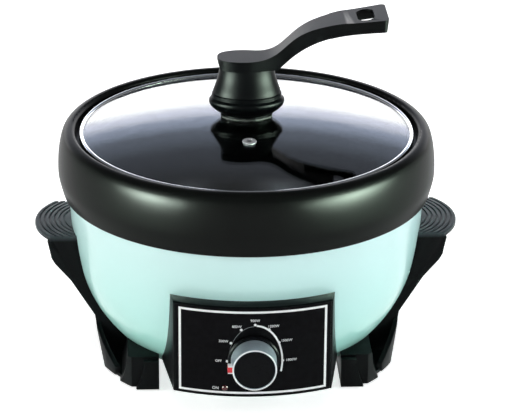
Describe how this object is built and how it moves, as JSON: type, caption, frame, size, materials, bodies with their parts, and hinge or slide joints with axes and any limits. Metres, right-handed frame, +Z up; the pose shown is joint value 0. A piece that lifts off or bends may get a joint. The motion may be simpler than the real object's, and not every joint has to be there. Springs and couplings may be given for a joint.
{
  "type": "electric hot pot",
  "caption": "Electric hot pot: round mint bowl on two black side supports, dark pot with a glass lid and long-handled knob, and a front box with a rotary power knob.",
  "frame": {"origin": "on the pot's vertical axis at table level, in the plane the four rubber foot pads stand on", "axes": "+Z up, control panel and knob towards -Y, power inlet towards +Y, lid handle and right support towards +X"},
  "size_m": [0.383, 0.3613, 0.3158],
  "materials": {
    "clear_glass": "clear tempered glass",
    "bright_steel": "polished",
    "silicone": "matte",
    "black_bakelite": "satin",
    "screw_steel": "zinc plated",
    "pot_metal": "dark bronze satin coat over cast aluminium",
    "mint_paint": "gloss",
    "plated_sheet": "galvanised",
    "cast_plate": "turned",
    "element_steel": "oxidised",
    "box_plastic": "semi-gloss",
    "fascia_black": "gloss",
    "regulator_body": "phenolic",
    "lens_red": "clear red",
    "knob_black": "gloss",
    "sleeve_silver": "satin",
    "pointer_red": "gloss",
    "pad_rubber": "matte",
    "pin_brass": "nickel plated",
    "terminal_white": "ceramic white"
  },
  "bodies": {
    "base": {"bowl_shell": "mint_paint", "support_ring": "black_bakelite", "bottom_cover": "plated_sheet", "cover_screws": "screw_steel", "plate_posts": "screw_steel", "heating_plate": "cast_plate", "heating_element": "element_steel", "heat_reflector": "plated_sheet", "thermal_cutout": "cast_plate", "right_support": "black_bakelite", "left_support": "black_bakelite", "support_screws": "screw_steel", "foot_pads": "pad_rubber", "control_box": "box_plastic", "control_fascia": "fascia_black", "power_regulator": "regulator_body", "regulator_nut": "screw_steel", "indicator_lamp": "terminal_white", "lamp_lens": "lens_red", "box_screws": "screw_steel", "power_inlet": "black_bakelite", "inlet_pins": "pin_brass", "inlet_screws": "screw_steel", "terminal_block": "terminal_white"},
    "pot": {"inner_pot": "pot_metal"},
    "lid": {"lid_glass": "clear_glass", "lid_rim": "bright_steel", "vent_eyelet": "bright_steel", "knob_gasket": "silicone", "knob_base": "black_bakelite", "lid_handle": "black_bakelite", "lid_screw": "screw_steel", "lid_washer": "screw_steel"},
    "knob": {"regulator_shaft": "screw_steel", "control_knob": "knob_black", "knob_sleeve": "sleeve_silver", "knob_pointer": "pointer_red"}
  },
  "joints": [
    {"name": "pot_lift", "type": "slide", "parent": "base", "child": "pot", "axis": [0, 0, 1], "range_m": [0, 0.15]},
    {"name": "lid_lift", "type": "slide", "parent": "pot", "child": "lid", "axis": [0, 0, 1], "range_m": [0, 0.12]},
    {"name": "power_knob_turn", "type": "hinge", "parent": "base", "child": "knob", "pos_m": [0, -0.171, 0.0615], "axis": [0, 1, 0], "range_deg": [0, 195]}
  ]
}
